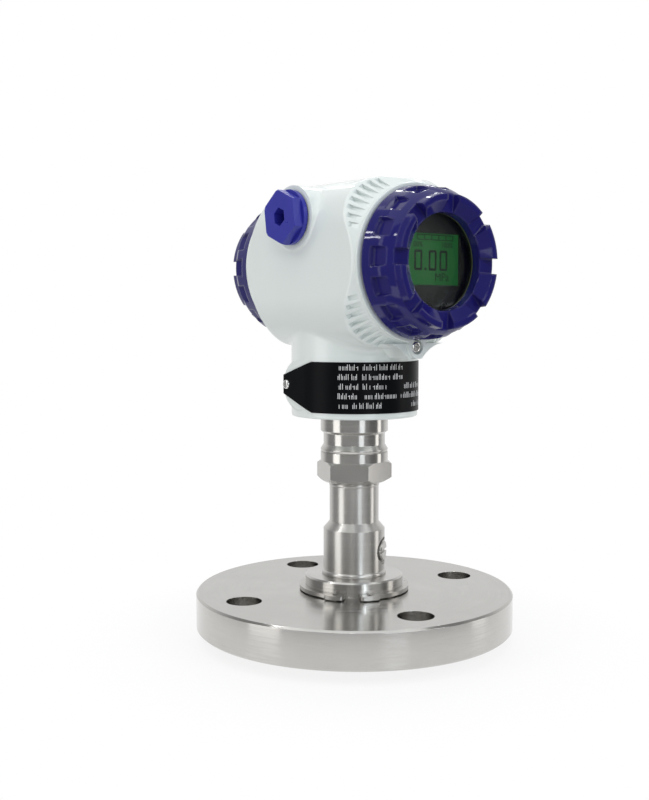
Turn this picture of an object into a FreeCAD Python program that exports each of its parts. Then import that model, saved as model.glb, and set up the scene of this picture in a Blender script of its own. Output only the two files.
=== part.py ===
import FreeCAD, Part
import math
import os

# Pressure transmitter on a loose DN50 flange, in millimetres, +Z up.
# The origin is the centre of the raised face that seals against the process.
# The display looks along -Y, the conduit entries along -X and +X.

V = FreeCAD.Vector

# Loose flange
flange_diameter = 165.0
flange_thickness = 19.0
flange_edge = 1.0
bolt_circle = 125.0
bolt_hole = 18.0
bolt_count = 4
bolt_angle = -11.7
flange_play = 0.4
flange_lift = 0.1

# Diaphragm seal
raised_face_diameter = 102.0
raised_face_height = 6.0
face_edge = 0.6
hub_diameter = 51.0
hub_rise = 8.5
hub_edge = 0.8
fill_bore = 3.0
diaphragm_diameter = 62.0
diaphragm_thickness = 0.3
diaphragm_weld = 2.5
diaphragm_recess = 0.9
oil_gap = 0.9
wave_count = 4
wave_height = 0.4

# Retaining ring
ring_clearance = 0.6
ring_thickness = 2.0
ring_width = 4.6
ring_seat = 1.6
ring_gap_angle = 17.0
ring_turn = -132.0
ring_lug_reach = 6.9
ring_lug_angle = 19.5
ring_lug_round = 1.5
ring_lug_hole = 2.5

# Stem
weld_bead = 1.0
weld_bead_height = 2.1
lower_diameter = 32.0
lower_length = 23.9
cone_length = 3.7
upper_diameter = 25.6
upper_length = 21.0
top_bead = 0.3
top_bead_height = 1.8
top_bead_drop = 0.6
fill_plug_diameter = 11.0
fill_plug_length = 5.0
fill_plug_seat = 2.5
fill_plug_rise = 12.5
fill_plug_turn = -55.0
fill_plug_edge = 0.6
spot_face_diameter = 14.2
spot_face_depth = 2.2
slot_width = 1.6
slot_depth = 1.2

# Hexagon adapter
hex_flats = 34.0
hex_length = 10.7
hex_turn = 11.7
hex_top_chamfer = 1.4
hex_bottom_chamfer = 2.3
collar_diameter = 35.0
collar_length = 4.8

# Sensor module
module_diameter = 35.0
module_exposed = 18.9
module_inside = 18.5
module_groove_depth = 1.5
module_groove_length = 5.7
module_ridge = 1.6
module_flare = 2.4
module_edge = 0.4
module_bevel = 1.3
module_seal_section = 1.5
module_seal_rise = 4.0
header_diameter = 22.0
header_height = 5.0
header_pin_count = 6
header_pin_circle = 14.6
header_pin_diameter = 1.4
header_pin_length = 3.0

# Housing
neck_diameter = 65.2
neck_edge = 1.0
neck_length = 35.7
neck_fillet = 4.0
body_width = 78.6
body_height = 82.0
body_corner = 25.0
front_reach = 47.6
rear_reach = 42.5
collar_inset = 0.6
collar_ring_edge = 0.5
collar_ring_land = 1.6
shoulder_slope = 1.35
shoulder_round = 2.0
thread_length = 9.0
thread_relief = 1.5
cavity_step = 1.0
partition_front = 14.0
partition_thickness = 3.5
neck_cavity_diameter = 52.0
neck_cavity_height = 13.0
wire_hole_diameter = 10.0
wire_hole_offset = 20.0
fit_clearance = 0.1
press_clearance = 0.05
overcut = 1.0

# Cooling slots in the corner shoulders
fin_count = 8
fin_pitch_angle = 5.7
fin_slot_width = 2.3
fin_slot_depth = 3.4
fin_middle_angle = 44.3
fin_collar_border = 0.4
fin_body_border = 0.9

# Pads for the plate on the neck
pad_diameter = 25.2
pad_offset = 4.7
pad_rise = 16.5
pad_proud = 0.1

# Conduit entries and their plugs
entry_boss_diameter = 31.4
entry_boss_proud = 0.7
entry_boss_fillet = 3.0
entry_drop = 18.2
entry_diameter = 19.6
plug_head_diameter = 27.0
plug_head_height = 7.2
plug_flats = 23.4
plug_collar = 2.2
plug_edge = 0.6
plug_turn = 38.0
plug_shank_length = 12.0
plug_socket_flats = 8.0
plug_socket_depth = 6.0
plug_seal_thickness = 0.6
seal_gap = 0.1

# Lock lugs and screws
lug_diameter = 11.6
lug_offset = -0.6
saddle_half_foot = 4.4
saddle_half_width = 18.6
saddle_rise = 2.4
saddle_hollow = 1.6
saddle_setback = 1.5
lock_head_diameter = 6.4
lock_head_height = 2.2
lock_shank_diameter = 4.0
lock_shank_length = 9.0
lock_counterbore = 7.2
lock_counterbore_depth = 2.4

# Covers
cover_inset = 1.5
cover_lip = 5.2
cover_shoulder = 5.6
cover_height = 21.9
cover_gap = 0.8
cover_edge = 0.9
cover_skirt = 11.2
cover_draft = 1.1
cover_crown = 0.4
cover_boss_wall = 2.5
rim_height = 4.2
rim_draft = 0.5
rim_width = 3.1
rim_edge = 0.4
funnel_width = 5.4
funnel_depth = 3.9
notch_count = 8
notch_width = 7.4
pocket_count = 16
pocket_width = 10.0
pocket_depth = 3.0
pocket_draft = 1.0
pocket_start = 5.8
window_taper = 0.2
window_depth = 8.5
seal_section = 1.8
seal_setback = 1.6
blind_depth = 5.0
blind_thickness = 4.0
blind_corner = 1.5
front_cover_turn = -3.0

# Window glass
glass_lap = 5.0
glass_thickness = 6.0
gasket_thickness = 0.8
retainer_thickness = 1.8
retainer_width = 2.2
retainer_slot = 3.0

# Display module
bezel_clearance = 2.8
bezel_front = 4.6
bezel_plate = 1.5
bezel_wall = 1.0
bezel_depth = 7.6
lcd_margin = 6.9
lcd_shape = 0.577
lcd_rise = 1.7
lcd_border = 0.5
lcd_thickness = 2.8
key_spread = 0.49
key_inset = 6.6
key_diameter = 4.8
key_play = 0.2
key_proud = 0.3
key_travel = 0.7
key_flange = 0.5
key_flange_thickness = 1.2
key_stem = 0.4
switch_size = 4.2

# Circuit boards
board_thickness = 1.6
board_gap = 11.4
main_board_clearance = 3.5
post_flats = 5.0
post_inset = 9.0
post_count = 3
display_post_turn = 90.0
board_post_turn = 30.0
screw_head_diameter = 5.0
screw_head_height = 1.8
feedthrough_diameter = 12.0
feedthrough_flange = 2.0
feedthrough_flange_thickness = 2.0
feedthrough_reach = 4.0
feedthrough_rise = 9.0

# Terminal compartment
terminal_clearance = 4.0
terminal_height = 16.0
terminal_flat = 8.0
terminal_count = 4
terminal_pitch = 10.0
terminal_drop = 6.0
terminal_screw_diameter = 7.0
terminal_screw_height = 2.0
terminal_recess_depth = 3.0
wire_mouth_width = 6.0
wire_mouth_height = 4.0
wire_mouth_drop = 1.0
ground_screw_diameter = 8.0
ground_screw_height = 3.0
ground_screw_rise = 20.0

# Plate and its screws
plate_height = 25.6
plate_thickness = 0.5
plate_rise = 15.9
plate_tip_height = 9.6
plate_taper_start = -6.0
plate_tip_reach = 17.0
plate_screw_offset = 13.6
plate_screw_head = 4.8
plate_screw_head_height = 1.6
plate_screw_shank = 3.0
plate_screw_length = 6.0

# Screw heads, as shares of the head
cross_side = 0.4
cross_crown = 0.45
cross_arm_length = 1.2
cross_arm_width = 0.3
driver_depth = 0.5

# Diameters that follow the body, from the collar inwards
collar_ring_diameter = body_width - 2 * collar_inset
cover_diameter = collar_ring_diameter - 2 * cover_inset
thread_diameter = cover_diameter - 2 * cover_lip
cavity_diameter = thread_diameter - 2 * cavity_step
rim_diameter = cover_diameter - 2 * cover_shoulder
window_diameter = rim_diameter - 2 * (rim_width + funnel_width + window_taper)
glass_diameter = window_diameter + 2 * glass_lap
bezel_diameter = cavity_diameter - 2 * bezel_clearance
lcd_width = bezel_diameter - 2 * lcd_margin
lcd_height = lcd_width * lcd_shape
key_drop = bezel_diameter / 2 - key_inset
key_spacing = key_drop * key_spread
main_board_diameter = cavity_diameter - 2 * main_board_clearance
post_circle = cavity_diameter - 2 * post_inset
terminal_diameter = cavity_diameter - 2 * terminal_clearance

# Heights and radii that follow
flange_z = raised_face_height + flange_lift
flange_top = flange_z + flange_thickness
ring_z = flange_top + ring_clearance
hub_top = raised_face_height + flange_thickness + hub_rise
cone_z = hub_top + lower_length
upper_z = cone_z + cone_length
adapter_z = upper_z + upper_length
collar_z = adapter_z + hex_length
module_z = collar_z + collar_length
neck_z = module_z + module_exposed
body_bottom = neck_z + neck_length
head_z = body_bottom + body_height / 2
module_top = neck_z + module_inside
hub_r = hub_diameter / 2
neck_r = neck_diameter / 2
bore_r = fill_bore / 2
module_r = module_diameter / 2
thread_r = thread_diameter / 2
cavity_r = cavity_diameter / 2
cover_r = cover_diameter / 2
collar_ring_r = collar_ring_diameter / 2
entry_boss_r = entry_boss_diameter / 2
entry_boss_reach = body_width / 2 + entry_boss_proud
entry_rise = body_height / 2 - entry_drop
lug_drop = body_height / 2 + lug_offset
pad_x = neck_r + pad_proud
partition_rear = partition_front - partition_thickness
boss_r = thread_r - cover_boss_wall
cover_top = cover_gap + cover_height
seat_h = cover_top - window_depth
glass_bore_r = glass_diameter / 2 + fit_clearance
retainer_h = seat_h - gasket_thickness - glass_thickness - retainer_thickness
bezel_back = bezel_front - bezel_depth
display_board_h = bezel_back - board_thickness
main_board_h = display_board_h - board_gap - board_thickness
partition_front_h = partition_front - front_reach
partition_rear_h = -rear_reach - partition_rear
key_base = bezel_front - bezel_plate - key_play - key_flange_thickness
key_places = (-key_spacing, 0.0, key_spacing)


def arc(start, end, rise):
    """Arc for an outline, from one point to another, standing off to the right of its chord by a rise."""
    run = end[0] - start[0]
    climb = end[1] - start[1]
    chord = math.hypot(run, climb)
    middle_r = (start[0] + end[0]) / 2 + rise * climb / chord
    middle_z = (start[1] + end[1]) / 2 - rise * run / chord
    return (middle_r, middle_z) + end


def quarter(start, end):
    """Quarter circle for an outline, bulging to the right of its chord."""
    chord = math.hypot(end[0] - start[0], end[1] - start[1])
    return arc(start, end, chord * (math.sqrt(2) - 1) / 2)


def turned(outline):
    """Solid of revolution about Z. The outline is (radius, height) points; four numbers are an
    arc: a point it passes through, then its end."""
    edges = []
    here = V(outline[0][0], 0, outline[0][1])
    for step in outline[1:] + outline[:1]:
        there = V(step[-2], 0, step[-1])
        if len(step) == 4:
            edges.append(Part.Arc(here, V(step[0], 0, step[1]), there).toShape())
        else:
            edges.append(Part.makeLine(here, there))
        here = there
    solid = Part.Face(Part.Wire(edges)).revolve(V(0, 0, 0), V(0, 0, 1), 360)
    if solid.Volume < 0:
        solid.reverse()
    return solid


def disc(radius, low, high, x=0.0, y=0.0):
    """Round disc or pin along Z between two heights."""
    return Part.makeCylinder(radius, high - low, V(x, y, low))


def tube(inner, outer, low, high):
    """Ring along Z with a square section."""
    return turned([(inner, low), (outer, low), (outer, high), (inner, high)])


def torus(middle, section, height):
    """O-ring about Z: middle radius, section diameter."""
    return Part.makeTorus(middle, section / 2, V(0, 0, height))


def block(width, depth, low, high, x=0.0, y=0.0):
    """Box centred on x, y between two heights."""
    return Part.makeBox(width, depth, high - low, V(x - width / 2, y - depth / 2, low))


def wedge(half_angle, radius, low, high):
    """Prism from the axis along X that covers a round of this radius, to the angle given on both sides."""
    reach = 2 * radius
    spread = reach * math.tan(math.radians(half_angle))
    corners = [V(0, 0, low), V(reach, -spread, low), V(reach, spread, low), V(0, 0, low)]
    return Part.Face(Part.makePolygon(corners)).extrude(V(0, 0, high - low))


def hexagon(flats, low, high, turn=0.0):
    """Hexagonal prism along Z with a corner at the given angle."""
    corner = flats / 2 / math.cos(math.pi / 6)
    angles = [math.radians(turn + 60 * k) for k in range(7)]
    points = [V(corner * math.cos(a), corner * math.sin(a), low) for a in angles]
    return Part.Face(Part.makePolygon(points)).extrude(V(0, 0, high - low))


def spun(shape, angle):
    """Copy of a shape turned about Z."""
    copy = shape.copy()
    copy.rotate(V(0, 0, 0), V(0, 0, 1), angle)
    return copy


def around(shape, count, first=0.0):
    """Copies of a shape spread evenly about Z."""
    return [spun(shape, first + 360.0 * k / count) for k in range(count)]


def facing(shape, at, turn):
    """Stand a shape modelled along Z on its side at a point: turn 0 looks along -Y, 180 along +Y,
    -90 along -X and 90 along +X. The shape's own Y points up."""
    rotation = FreeCAD.Rotation(V(0, 0, 1), turn).multiply(FreeCAD.Rotation(V(1, 0, 0), 90))
    moved = shape.copy()
    moved.Placement = FreeCAD.Placement(at, rotation).multiply(moved.Placement)
    return moved


def at_front(shape):
    """From the front collar's plane, with Z out of the head."""
    return facing(shape, V(0, -front_reach, head_z), 0)


def at_rear(shape):
    """From the rear collar's plane, with Z out of the head."""
    return facing(shape, V(0, rear_reach, head_z), 180)


def at_entry(shape, side):
    """From a conduit boss's face, with Z out of the entry; side is -1 left or 1 right."""
    return facing(shape, V(side * entry_boss_reach, 0, head_z + entry_rise), 90 * side)


def at_pad(shape, side):
    """From the plate's outer face at its screw, with Z out of the neck."""
    place = V(side * (pad_x + plate_thickness), plate_screw_offset, neck_z + pad_rise)
    return facing(shape, place, 90 * side)


def at_fill_port(shape):
    """From the stem's axis at the filling port, with Z out of the stem."""
    return facing(shape, V(0, 0, hub_top + fill_plug_rise), fill_plug_turn + 90)


def rounded(shape, radius, wanted):
    """Fillet each edge between two faces for which wanted(edge, faces) holds."""
    edges = []
    for edge in shape.Edges:
        faces = shape.ancestorsOfType(edge, Part.Face)
        if len(faces) == 2 and wanted(edge, faces):
            edges.append(edge)
    return shape.makeFillet(radius, edges)


def cross_screw(head_diameter, head_height, shank_diameter, shank_length):
    """Pan screw with a cross recess, its head standing on height 0."""
    head_r = head_diameter / 2
    shank_r = shank_diameter / 2
    side = (head_r, head_height * cross_side)
    crown = (head_r * cross_crown, head_height)
    screw = turned([
        (0, -shank_length), (shank_r, -shank_length), (shank_r, 0), (head_r, 0), side,
        quarter(side, crown), (0, head_height)])
    arm = block(head_r * cross_arm_length, head_r * cross_arm_width, head_height * driver_depth, head_height * 2)
    return screw.cut(arm.fuse(spun(arm, 90)))


def slotted_head(diameter, height):
    """Cheese head of a driven screw, standing on height 0."""
    head = disc(diameter / 2, 0, height)
    return head.cut(block(diameter * 2, slot_width, height * driver_depth, height * 2))


def make_flange():
    outer = flange_diameter / 2
    inner = hub_r + flange_play
    plate = turned([
        (inner, flange_z), (outer - flange_edge, flange_z), (outer, flange_z + flange_edge),
        (outer, flange_top - flange_edge), (outer - flange_edge, flange_top), (inner, flange_top)])
    hole = disc(bolt_hole / 2, flange_z - overcut, flange_top + overcut, bolt_circle / 2)
    return plate.cut(Part.makeCompound(around(hole, bolt_count, bolt_angle)))


def make_seal_body():
    face_r = raised_face_diameter / 2
    rim_r = diaphragm_diameter / 2 + press_clearance
    ledge_r = diaphragm_diameter / 2 - diaphragm_weld
    roof = diaphragm_recess + oil_gap
    groove_r = hub_r - ring_seat
    groove_top = ring_z + ring_thickness + press_clearance
    return turned([
        (bore_r, roof), (ledge_r, roof), (ledge_r, diaphragm_recess), (rim_r, diaphragm_recess), (rim_r, 0),
        (face_r - face_edge, 0), (face_r, face_edge), (face_r, raised_face_height),
        (hub_r, raised_face_height), (hub_r, ring_z), (groove_r, ring_z), (groove_r, groove_top),
        (hub_r, groove_top), (hub_r, hub_top - hub_edge), (hub_r - hub_edge, hub_top), (bore_r, hub_top)])


def make_seal_diaphragm():
    """Thin disc with concentric waves, its rim against the ledge of the seal body."""
    top = diaphragm_recess
    rim_r = diaphragm_diameter / 2
    flat_r = rim_r - diaphragm_weld
    step = flat_r / (wave_count + 1) / 2
    upper = [(flat_r - k * step, top - (k % 2) * wave_height) for k in range(2 * wave_count + 1)]
    upper = [(rim_r, top)] + upper + [(0, top)]
    lower = [(r, z - diaphragm_thickness) for r, z in reversed(upper)]
    return turned(upper + lower)


def make_retaining_ring():
    """Open ring sprung into the groove of the seal body, with a drilled lug at each end."""
    inner = hub_r - ring_seat + press_clearance
    outer = inner + ring_width
    lug_outer = inner + ring_lug_reach
    top = ring_z + ring_thickness
    half_gap = ring_gap_angle / 2

    def lug_corner(edge, faces):
        upright = edge.BoundBox.ZLength > ring_thickness / 2
        return upright and math.hypot(edge.Vertexes[0].X, edge.Vertexes[0].Y) > (outer + lug_outer) / 2

    lugs = tube(inner, lug_outer, ring_z, top).common(wedge(half_gap + ring_lug_angle, lug_outer, ring_z, top))
    ring = tube(inner, outer, ring_z, top).fuse(lugs).cut(wedge(half_gap, lug_outer, ring_z, top))
    ring = rounded(ring.removeSplitter(), ring_lug_round, lug_corner)
    hole = disc(ring_lug_hole / 2, ring_z, top, (inner + lug_outer) / 2)
    hole_turn = half_gap + ring_lug_angle / 2
    ring = ring.cut(Part.makeCompound([spun(hole, hole_turn), spun(hole, -hole_turn)]))
    return spun(ring, ring_turn)


def make_stem():
    """Two diameters joined by a cone, welded at both ends, with a port for the filling plug."""
    low_r = lower_diameter / 2
    high_r = upper_diameter / 2
    bead_foot = (low_r + weld_bead / 2, hub_top)
    bead_top = (low_r, hub_top + weld_bead_height)
    ring_high = (high_r, adapter_z - top_bead_drop)
    ring_low = (high_r, adapter_z - top_bead_drop - top_bead_height)
    stem = turned([
        (bore_r, hub_top), bead_foot, arc(bead_foot, bead_top, weld_bead / 2), (low_r, cone_z), (high_r, upper_z),
        ring_low, arc(ring_low, ring_high, top_bead), (high_r, adapter_z), (bore_r, adapter_z)])
    floor = low_r - spot_face_depth
    spot = disc(spot_face_diameter / 2, floor, lower_diameter)
    hole = disc(fill_plug_diameter / 2 + press_clearance, floor - fill_plug_seat, lower_diameter)
    return stem.cut(at_fill_port(spot.fuse(hole)))


def make_fill_plug():
    seat = lower_diameter / 2 - spot_face_depth - fill_plug_seat
    top = seat + fill_plug_length
    plug_r = fill_plug_diameter / 2
    plug = turned([
        (0, seat), (plug_r, seat), (plug_r, top - fill_plug_edge), (plug_r - fill_plug_edge, top), (0, top)])
    return at_fill_port(plug.cut(block(fill_plug_diameter * 2, slot_width, top - slot_depth, top * 2)))


def make_hex_adapter():
    corner = hex_flats / 2 / math.cos(math.pi / 6)
    low_r = hex_flats / 2 - hex_bottom_chamfer / 2
    high_r = hex_flats / 2 + hex_top_chamfer / 2
    envelope = turned([
        (0, adapter_z), (low_r, adapter_z), (corner, adapter_z + hex_bottom_chamfer),
        (corner, collar_z - hex_top_chamfer), (high_r, collar_z), (0, collar_z)])
    nut = hexagon(hex_flats, adapter_z, collar_z, hex_turn).common(envelope)
    nut = nut.fuse(disc(collar_diameter / 2, collar_z, module_z))
    return nut.cut(disc(bore_r, adapter_z, module_z)).removeSplitter()


def make_sensor_module():
    groove_r = module_r - module_groove_depth
    ridge_z = module_z + module_ridge
    groove_z = ridge_z + module_flare
    land_z = groove_z + module_groove_length
    seal_z = neck_z + module_seal_rise
    seal_r = module_r - module_seal_section + press_clearance
    seal_half = module_seal_section / 2 + press_clearance
    return turned([
        (bore_r, module_z), (module_r - module_edge, module_z), (module_r, module_z + module_bevel),
        (module_r, ridge_z), (groove_r, groove_z), (groove_r, land_z),
        (module_r, land_z + module_bevel), (module_r, seal_z - seal_half), (seal_r, seal_z - seal_half),
        (seal_r, seal_z + seal_half), (module_r, seal_z + seal_half),
        (module_r, module_top - module_bevel), (module_r - module_bevel, module_top), (bore_r, module_top)])


def make_module_seal():
    section = module_seal_section - press_clearance
    outer = module_r + press_clearance
    return torus(outer - section / 2, section, neck_z + module_seal_rise)


def make_sensor_header():
    top = module_top + header_height
    header = disc(header_diameter / 2, module_top, top)
    pin = disc(header_pin_diameter / 2, top, top + header_pin_length, header_pin_circle / 2)
    return header.fuse(around(pin, header_pin_count))


def body_prism():
    """Rounded square body along Y."""
    length = front_reach + rear_reach
    corner = V(-body_width / 2, -front_reach, body_bottom)
    box = Part.makeBox(body_width, length, body_height, corner)
    return box.makeFillet(body_corner, [e for e in box.Edges if e.BoundBox.YLength > length / 2])


def body_radius(angle):
    """Distance from the head's axis to the outline of the body, in a direction across the axis."""
    c = abs(math.cos(angle))
    s = abs(math.sin(angle))
    core_x = body_width / 2 - body_corner
    core_y = body_height / 2 - body_corner
    if body_width / 2 * s <= core_y * c:
        return body_width / 2 / c
    if body_height / 2 * c <= core_x * s:
        return body_height / 2 / s
    across = core_y * c - core_x * s
    return core_x * c + core_y * s + math.sqrt(body_corner ** 2 - across ** 2)


def shoulder_height(radius):
    """Height of the conical shoulder below the collar's plane."""
    return -collar_ring_land - (radius - collar_ring_r) * shoulder_slope


def shoulder_envelope():
    """Round collar at each end, with conical shoulders that open towards the body."""
    length = front_reach + rear_reach
    wide = collar_ring_r + body_corner
    face = (collar_ring_r - collar_ring_edge, 0)
    side = (collar_ring_r, -collar_ring_edge)
    far_side = (collar_ring_r, collar_ring_edge - length)
    far_face = (collar_ring_r - collar_ring_edge, -length)
    return at_front(turned([
        (0, -length), far_face, quarter(far_face, far_side), (collar_ring_r, collar_ring_land - length),
        (wide, -length - shoulder_height(wide)), (wide, shoulder_height(wide)),
        (collar_ring_r, -collar_ring_land), side, quarter(side, face), (0, 0)]))


def fin_slots():
    """Slots across the corner shoulders of one end: deep at the body, fading out at the collar."""
    middle = fin_middle_angle
    far = collar_ring_r + body_corner
    start_r = collar_ring_r + fin_collar_border
    start_h = shoulder_height(start_r)
    widest = body_radius(math.radians(middle)) - start_r
    slots = []
    for corner in (middle, 180 - middle, 180 + middle, -middle):
        for k in range(fin_count):
            angle = corner + (k - (fin_count - 1) / 2) * fin_pitch_angle
            end_r = body_radius(math.radians(angle)) - fin_body_border
            end_h = shoulder_height(end_r)
            depth = fin_slot_depth * (end_r - start_r) / widest
            side = [(start_r, start_h), (end_r - depth, end_h), (far, end_h), (far, start_h)]
            points = [V(r, -fin_slot_width / 2, h) for r, h in side + side[:1]]
            slot = Part.Face(Part.makePolygon(points)).extrude(V(0, fin_slot_width, 0))
            slots.append(spun(slot, angle))
    return Part.makeCompound(slots)


def is_cylinder(face, axis, radius):
    """Whether a face lies on a cylinder of this radius along this axis."""
    surface = face.Surface
    if not isinstance(surface, Part.Cylinder):
        return False
    return abs(surface.Axis.dot(axis)) > 0.99 and abs(surface.Radius - radius) < press_clearance


def make_body():
    """Head of the casting with softened shoulders, on its round neck."""
    def shoulder(edge, faces):
        cones = [f for f in faces if isinstance(f.Surface, Part.Cone)]
        on_collar = any(is_cylinder(f, V(0, 1, 0), collar_ring_r) for f in faces)
        return len(cones) == 1 and not on_collar

    def neck_joint(edge, faces):
        sides = [f for f in faces if is_cylinder(f, V(0, 0, 1), neck_r)]
        return len(sides) == 1 and edge.BoundBox.ZMin > body_bottom - overcut

    head = rounded(body_prism().common(shoulder_envelope()), shoulder_round, shoulder)
    foot = (neck_r - neck_edge, neck_z)
    wall = (neck_r, neck_z + neck_edge)
    neck = turned([(0, neck_z), foot, quarter(foot, wall), (neck_r, head_z), (0, head_z)])
    return rounded(head.fuse(neck).removeSplitter(), neck_fillet, neck_joint)


def with_bosses(casting):
    """Casting with a round boss for each conduit entry, blended into the body."""
    def boss_joint(edge, faces):
        sides = [f for f in faces if is_cylinder(f, V(1, 0, 0), entry_boss_r)]
        reach = max(abs(edge.BoundBox.XMin), abs(edge.BoundBox.XMax))
        return len(sides) == 1 and reach < entry_boss_reach - press_clearance

    bosses = disc(entry_boss_r, -entry_boss_reach, entry_boss_reach)
    bosses = facing(bosses, V(0, 0, head_z + entry_rise), 90)
    return rounded(casting.fuse(bosses).removeSplitter(), entry_boss_fillet, boss_joint)


def lug_saddle():
    """Web with hollow flanks that carries the two lock lugs under the body."""
    foot_z = head_z - lug_drop - lug_diameter / 2
    foot = (saddle_half_foot, foot_z)
    top = (saddle_half_width, body_bottom + saddle_rise)
    hollow = arc(foot, top, -saddle_hollow)
    y = saddle_setback - front_reach

    def place(x, z):
        return V(x, y, z)

    right = Part.Arc(place(*foot), place(*hollow[:2]), place(*top)).toShape()
    left = Part.Arc(place(-top[0], top[1]), place(-hollow[0], hollow[1]), place(-foot[0], foot_z)).toShape()
    outline = Part.Wire([
        right, Part.makeLine(place(*top), place(-top[0], top[1])), left,
        Part.makeLine(place(-foot[0], foot_z), place(*foot))])
    return Part.Face(outline).extrude(V(0, front_reach + rear_reach - 2 * saddle_setback, 0))


def make_housing():
    """One casting: body, neck, pads, conduit bosses and lock lugs, then its slots and bores."""
    pads = facing(disc(pad_diameter / 2, -pad_x, pad_x), V(0, pad_offset, neck_z + pad_rise), 90)
    pads = pads.common(Part.makeBox(2 * pad_x, pad_diameter, 2 * head_z, V(-pad_x, 0, 0)))
    lugs = facing(disc(lug_diameter / 2, -rear_reach, front_reach), V(0, 0, head_z - lug_drop), 0)
    casting = with_bosses(make_body()).multiFuse([pads, lugs, lug_saddle()]).removeSplitter()
    slots = fin_slots()
    return casting.cut(at_front(slots)).cut(at_rear(slots)).cut(housing_bores())


def housing_bores():
    """Compartments, threads, neck bore, entries and screw holes of the casting."""
    thread_bore = thread_r + fit_clearance
    thread_depth = thread_length + thread_relief
    front = disc(thread_bore, -thread_depth, overcut).fuse(disc(cavity_r, partition_front_h, 0))
    rear = disc(thread_bore, -thread_depth, overcut).fuse(disc(cavity_r, partition_rear_h, 0))
    cavity_top = module_top + neck_cavity_height
    neck = disc(module_r + fit_clearance, neck_z - overcut, module_top + header_height)
    neck = neck.fuse(disc(neck_cavity_diameter / 2, module_top, cavity_top))
    wire = disc(wire_hole_diameter / 2, cavity_top - overcut, head_z - cavity_r / 2, 0, -wire_hole_offset)
    through_h = partition_front_h - 2 * partition_thickness
    through = disc(feedthrough_diameter / 2, through_h, 0, 0, feedthrough_rise)
    shank_depth = lock_counterbore_depth + lock_shank_length
    lock = disc(lock_counterbore / 2, -lock_counterbore_depth, overcut)
    lock = lock.fuse(disc(lock_shank_diameter / 2 + press_clearance, -shank_depth, 0))
    lock.translate(V(0, -lug_drop, 0))
    entry = disc(entry_diameter / 2, cavity_r / 2 - entry_boss_reach, overcut)
    screw_depth = plate_screw_length + plate_thickness
    screw = disc(plate_screw_shank / 2 + press_clearance, -screw_depth, plate_thickness)
    bores = [at_front(front), at_rear(rear), neck, wire, at_front(through), at_front(lock), at_rear(lock)]
    bores += [at_entry(entry, side) for side in (-1, 1)]
    bores += [at_pad(screw, side) for side in (-1, 1)]
    return bores[0].multiFuse(bores[1:])


def cover_outside():
    """Outline shared by both covers: threaded boss, seal groove, skirt, shoulder, upright rim and funnel."""
    rim_r = rim_diameter / 2
    groove_r = thread_r - seal_section - press_clearance
    groove_high = -seal_setback + seal_section / 2 + press_clearance
    groove_low = -seal_setback - seal_section / 2 - press_clearance
    skirt = (cover_r - cover_draft, cover_gap + cover_skirt)
    rim_foot = (rim_r + rim_draft, cover_top - rim_height)
    rim_side = (rim_r, cover_top - rim_edge)
    rim_face = (rim_r - rim_edge, cover_top)
    return [
        (boss_r, -thread_length), (thread_r, -thread_length), (thread_r, groove_low), (groove_r, groove_low),
        (groove_r, groove_high), (thread_r, groove_high), (thread_r, cover_gap),
        (cover_r - cover_edge, cover_gap), (cover_r, cover_gap + cover_edge), skirt,
        arc(skirt, rim_foot, cover_crown), rim_side, quarter(rim_side, rim_face),
        (rim_r - rim_width, cover_top), (rim_r - rim_width - funnel_width, cover_top - funnel_depth)]


def cover_grip(outline):
    """Cover with its wrench notches across the rim and its grip pockets round the skirt."""
    notch_middle = window_diameter / 4 + cover_r
    notch = block(cover_diameter, notch_width, cover_top - rim_height, cover_top + overcut, notch_middle)
    cuts = around(notch, notch_count) + around(grip_pocket(), pocket_count)
    return turned(outline).cut(Part.makeCompound(cuts))


def grip_pocket():
    """Cutter for one grip pocket at X: its floor is flat, and its walls lean out by the draft."""
    def rectangle(radius, spread):
        half = pocket_width / 2 + spread
        low = cover_gap + pocket_start - spread
        corners = ((-half, low), (half, low), (half, cover_top), (-half, cover_top), (-half, low))
        return Part.makePolygon([V(radius, y, z) for y, z in corners])

    floor = rectangle(cover_r - pocket_depth, -pocket_draft)
    mouth = rectangle(cover_r + pocket_depth, pocket_draft)
    return Part.makeLoft([floor, mouth], True, True)


def make_front_cover():
    window_r = window_diameter / 2
    cover = cover_grip(cover_outside() + [
        (window_r, seat_h), (glass_bore_r, seat_h), (glass_bore_r, retainer_h), (boss_r, retainer_h)])
    return at_front(spun(cover, front_cover_turn))


def make_rear_cover():
    panel = cover_top - blind_depth
    roof = panel - blind_thickness
    return at_rear(cover_grip(cover_outside() + [
        (window_diameter / 2, panel), (0, panel), (0, roof), (boss_r - blind_corner, roof),
        (boss_r, roof - blind_corner)]))


def cover_seal():
    return torus(thread_r - seal_section / 2, seal_section - press_clearance, -seal_setback)


def make_glass_gasket():
    inner = window_diameter / 2 + press_clearance
    return at_front(tube(inner, glass_diameter / 2, seat_h - gasket_thickness, seat_h))


def make_front_glass():
    top = seat_h - gasket_thickness
    return at_front(disc(glass_diameter / 2, top - glass_thickness, top))


def make_glass_retainer():
    outer = glass_diameter / 2
    ring = tube(outer - retainer_width, outer, retainer_h, retainer_h + retainer_thickness)
    slot = block(retainer_width * 3, retainer_slot, retainer_h, retainer_h + retainer_thickness / 2, outer)
    return at_front(ring.cut(Part.makeCompound(around(slot, 2))))


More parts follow.
